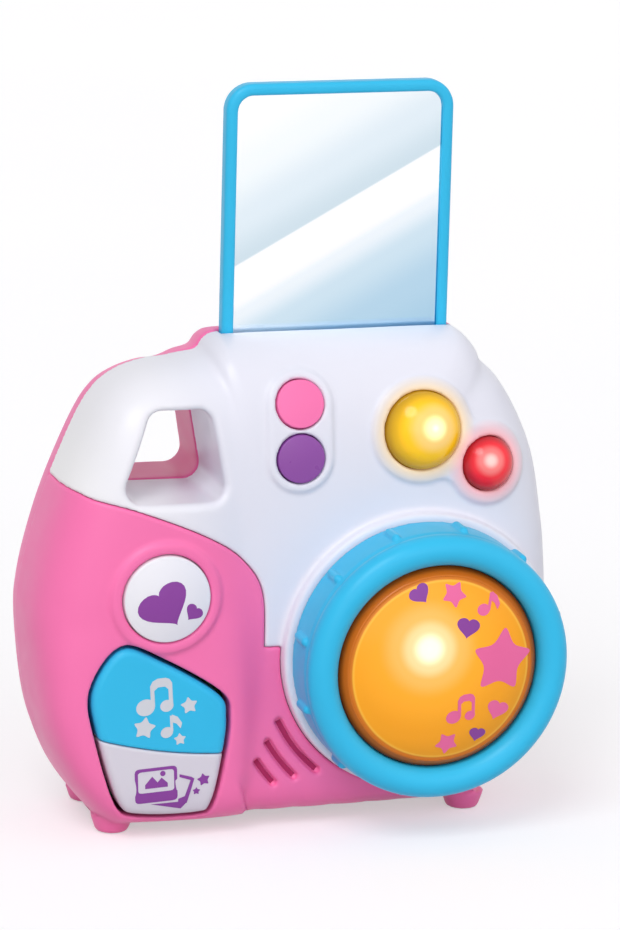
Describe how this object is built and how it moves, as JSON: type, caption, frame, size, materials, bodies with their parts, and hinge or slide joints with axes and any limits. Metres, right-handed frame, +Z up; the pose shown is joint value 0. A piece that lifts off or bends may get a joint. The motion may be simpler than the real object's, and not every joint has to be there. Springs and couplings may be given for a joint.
{
  "type": "toy camera",
  "caption": "Rounded toy camera with a grip, a finger hole, a pull-up mirror, a turning ribbed lens ring, lit domes, push buttons and a rocker key.",
  "frame": {"origin": "under the middle of the whole toy, on the plane that its feet stand on", "axes": "+Z up along the pulled-up mirror, +Y to the back of the toy, +X to the right of someone facing its front"},
  "size_m": [0.1674, 0.0825, 0.229],
  "materials": {
    "white_plastic": "satin moulded",
    "pink_plastic": "satin moulded",
    "blue_plastic": "gloss moulded",
    "purple_plastic": "gloss moulded",
    "mirror_sheet": "silvered sheet",
    "amber_dome": "clear tinted",
    "yellow_dome": "clear tinted",
    "red_dome": "clear tinted",
    "inner_plastic": "matt moulded",
    "felt": "felt",
    "lamp": "clear cast",
    "contact_rubber": "matt",
    "pawl_plastic": "matt moulded",
    "circuit_board": "solder mask",
    "dark_plastic": "matt moulded",
    "cone_paper": "pressed paper",
    "cell_wrap": "printed wrap",
    "steel": "zinc plated"
  },
  "bodies": {
    "root": {"front_shell": "white_plastic", "lower_front_shell": "pink_plastic", "rear_shell": "pink_plastic", "mirror_cassette": "inner_plastic", "brake_pads": "felt", "cassette_screws": "steel", "lens_barrel": "inner_plastic", "lens_cap": "amber_dome", "lens_reflector": "inner_plastic", "lens_board": "circuit_board", "lens_lamp": "lamp", "click_pawl": "pawl_plastic", "barrel_screws": "steel", "flash_dome": "yellow_dome", "flash_lamp": "lamp", "signal_dome": "red_dome", "signal_lamp": "lamp", "heart_contact": "contact_rubber", "dot_contacts": "contact_rubber", "rocker_pin": "steel", "rocker_contacts": "contact_rubber", "main_board": "circuit_board", "key_board": "circuit_board", "board_screws": "steel", "speaker_basket": "dark_plastic", "speaker_cone": "cone_paper", "speaker_magnet": "steel", "speaker_screws": "steel", "batteries": "cell_wrap", "battery_contacts": "steel", "power_switch": "steel", "switch_screws": "steel", "case_screws": "steel"},
    "mirror": {"mirror_frame": "blue_plastic", "mirror_sheet": "mirror_sheet", "mirror_back": "blue_plastic"},
    "ring": {"lens_ring": "blue_plastic"},
    "heart_key": {"heart_button": "white_plastic"},
    "pink_key": {"pink_button": "pink_plastic"},
    "purple_key": {"purple_button": "purple_plastic"},
    "rocker": {"music_key": "blue_plastic", "photo_key": "white_plastic", "rocker_carrier": "inner_plastic"},
    "door": {"battery_door": "pink_plastic", "door_screw": "steel"},
    "knob": {"power_knob": "dark_plastic"}
  },
  "joints": [
    {"name": "mirror_slide", "type": "slide", "parent": "root", "child": "mirror", "axis": [0, 0, 1], "range_m": [-0.074, 0]},
    {"name": "ring_turn", "type": "hinge", "parent": "root", "child": "ring", "pos_m": [0.0368, -0.027, 0.056], "axis": [0, 1, 0], "continuous": true},
    {"name": "heart_press", "type": "slide", "parent": "root", "child": "heart_key", "axis": [0, 1, 0], "range_m": [0, 0.0025], "stiffness_N_per_m": 400, "springref_m": -0.001},
    {"name": "pink_press", "type": "slide", "parent": "root", "child": "pink_key", "axis": [-0.0071, 0.9659, -0.2587], "range_m": [0, 0.002], "stiffness_N_per_m": 400, "springref_m": -0.001},
    {"name": "purple_press", "type": "slide", "parent": "root", "child": "purple_key", "axis": [-0.005, 0.9975, -0.0703], "range_m": [0, 0.002], "stiffness_N_per_m": 400, "springref_m": -0.001},
    {"name": "rocker_tilt", "type": "hinge", "parent": "root", "child": "rocker", "pos_m": [-0.04583, -0.00435, 0.03096], "axis": [1, 0, 0], "range_deg": [-3.5, 3.5], "stiffness_Nm_per_rad": 0.5},
    {"name": "door_out", "type": "slide", "parent": "root", "child": "door", "axis": [0, 1, 0], "range_m": [0, 0.03]},
    {"name": "knob_slide", "type": "slide", "parent": "root", "child": "knob", "axis": [1, 0, 0], "range_m": [-0.0026, 0.0026]}
  ]
}
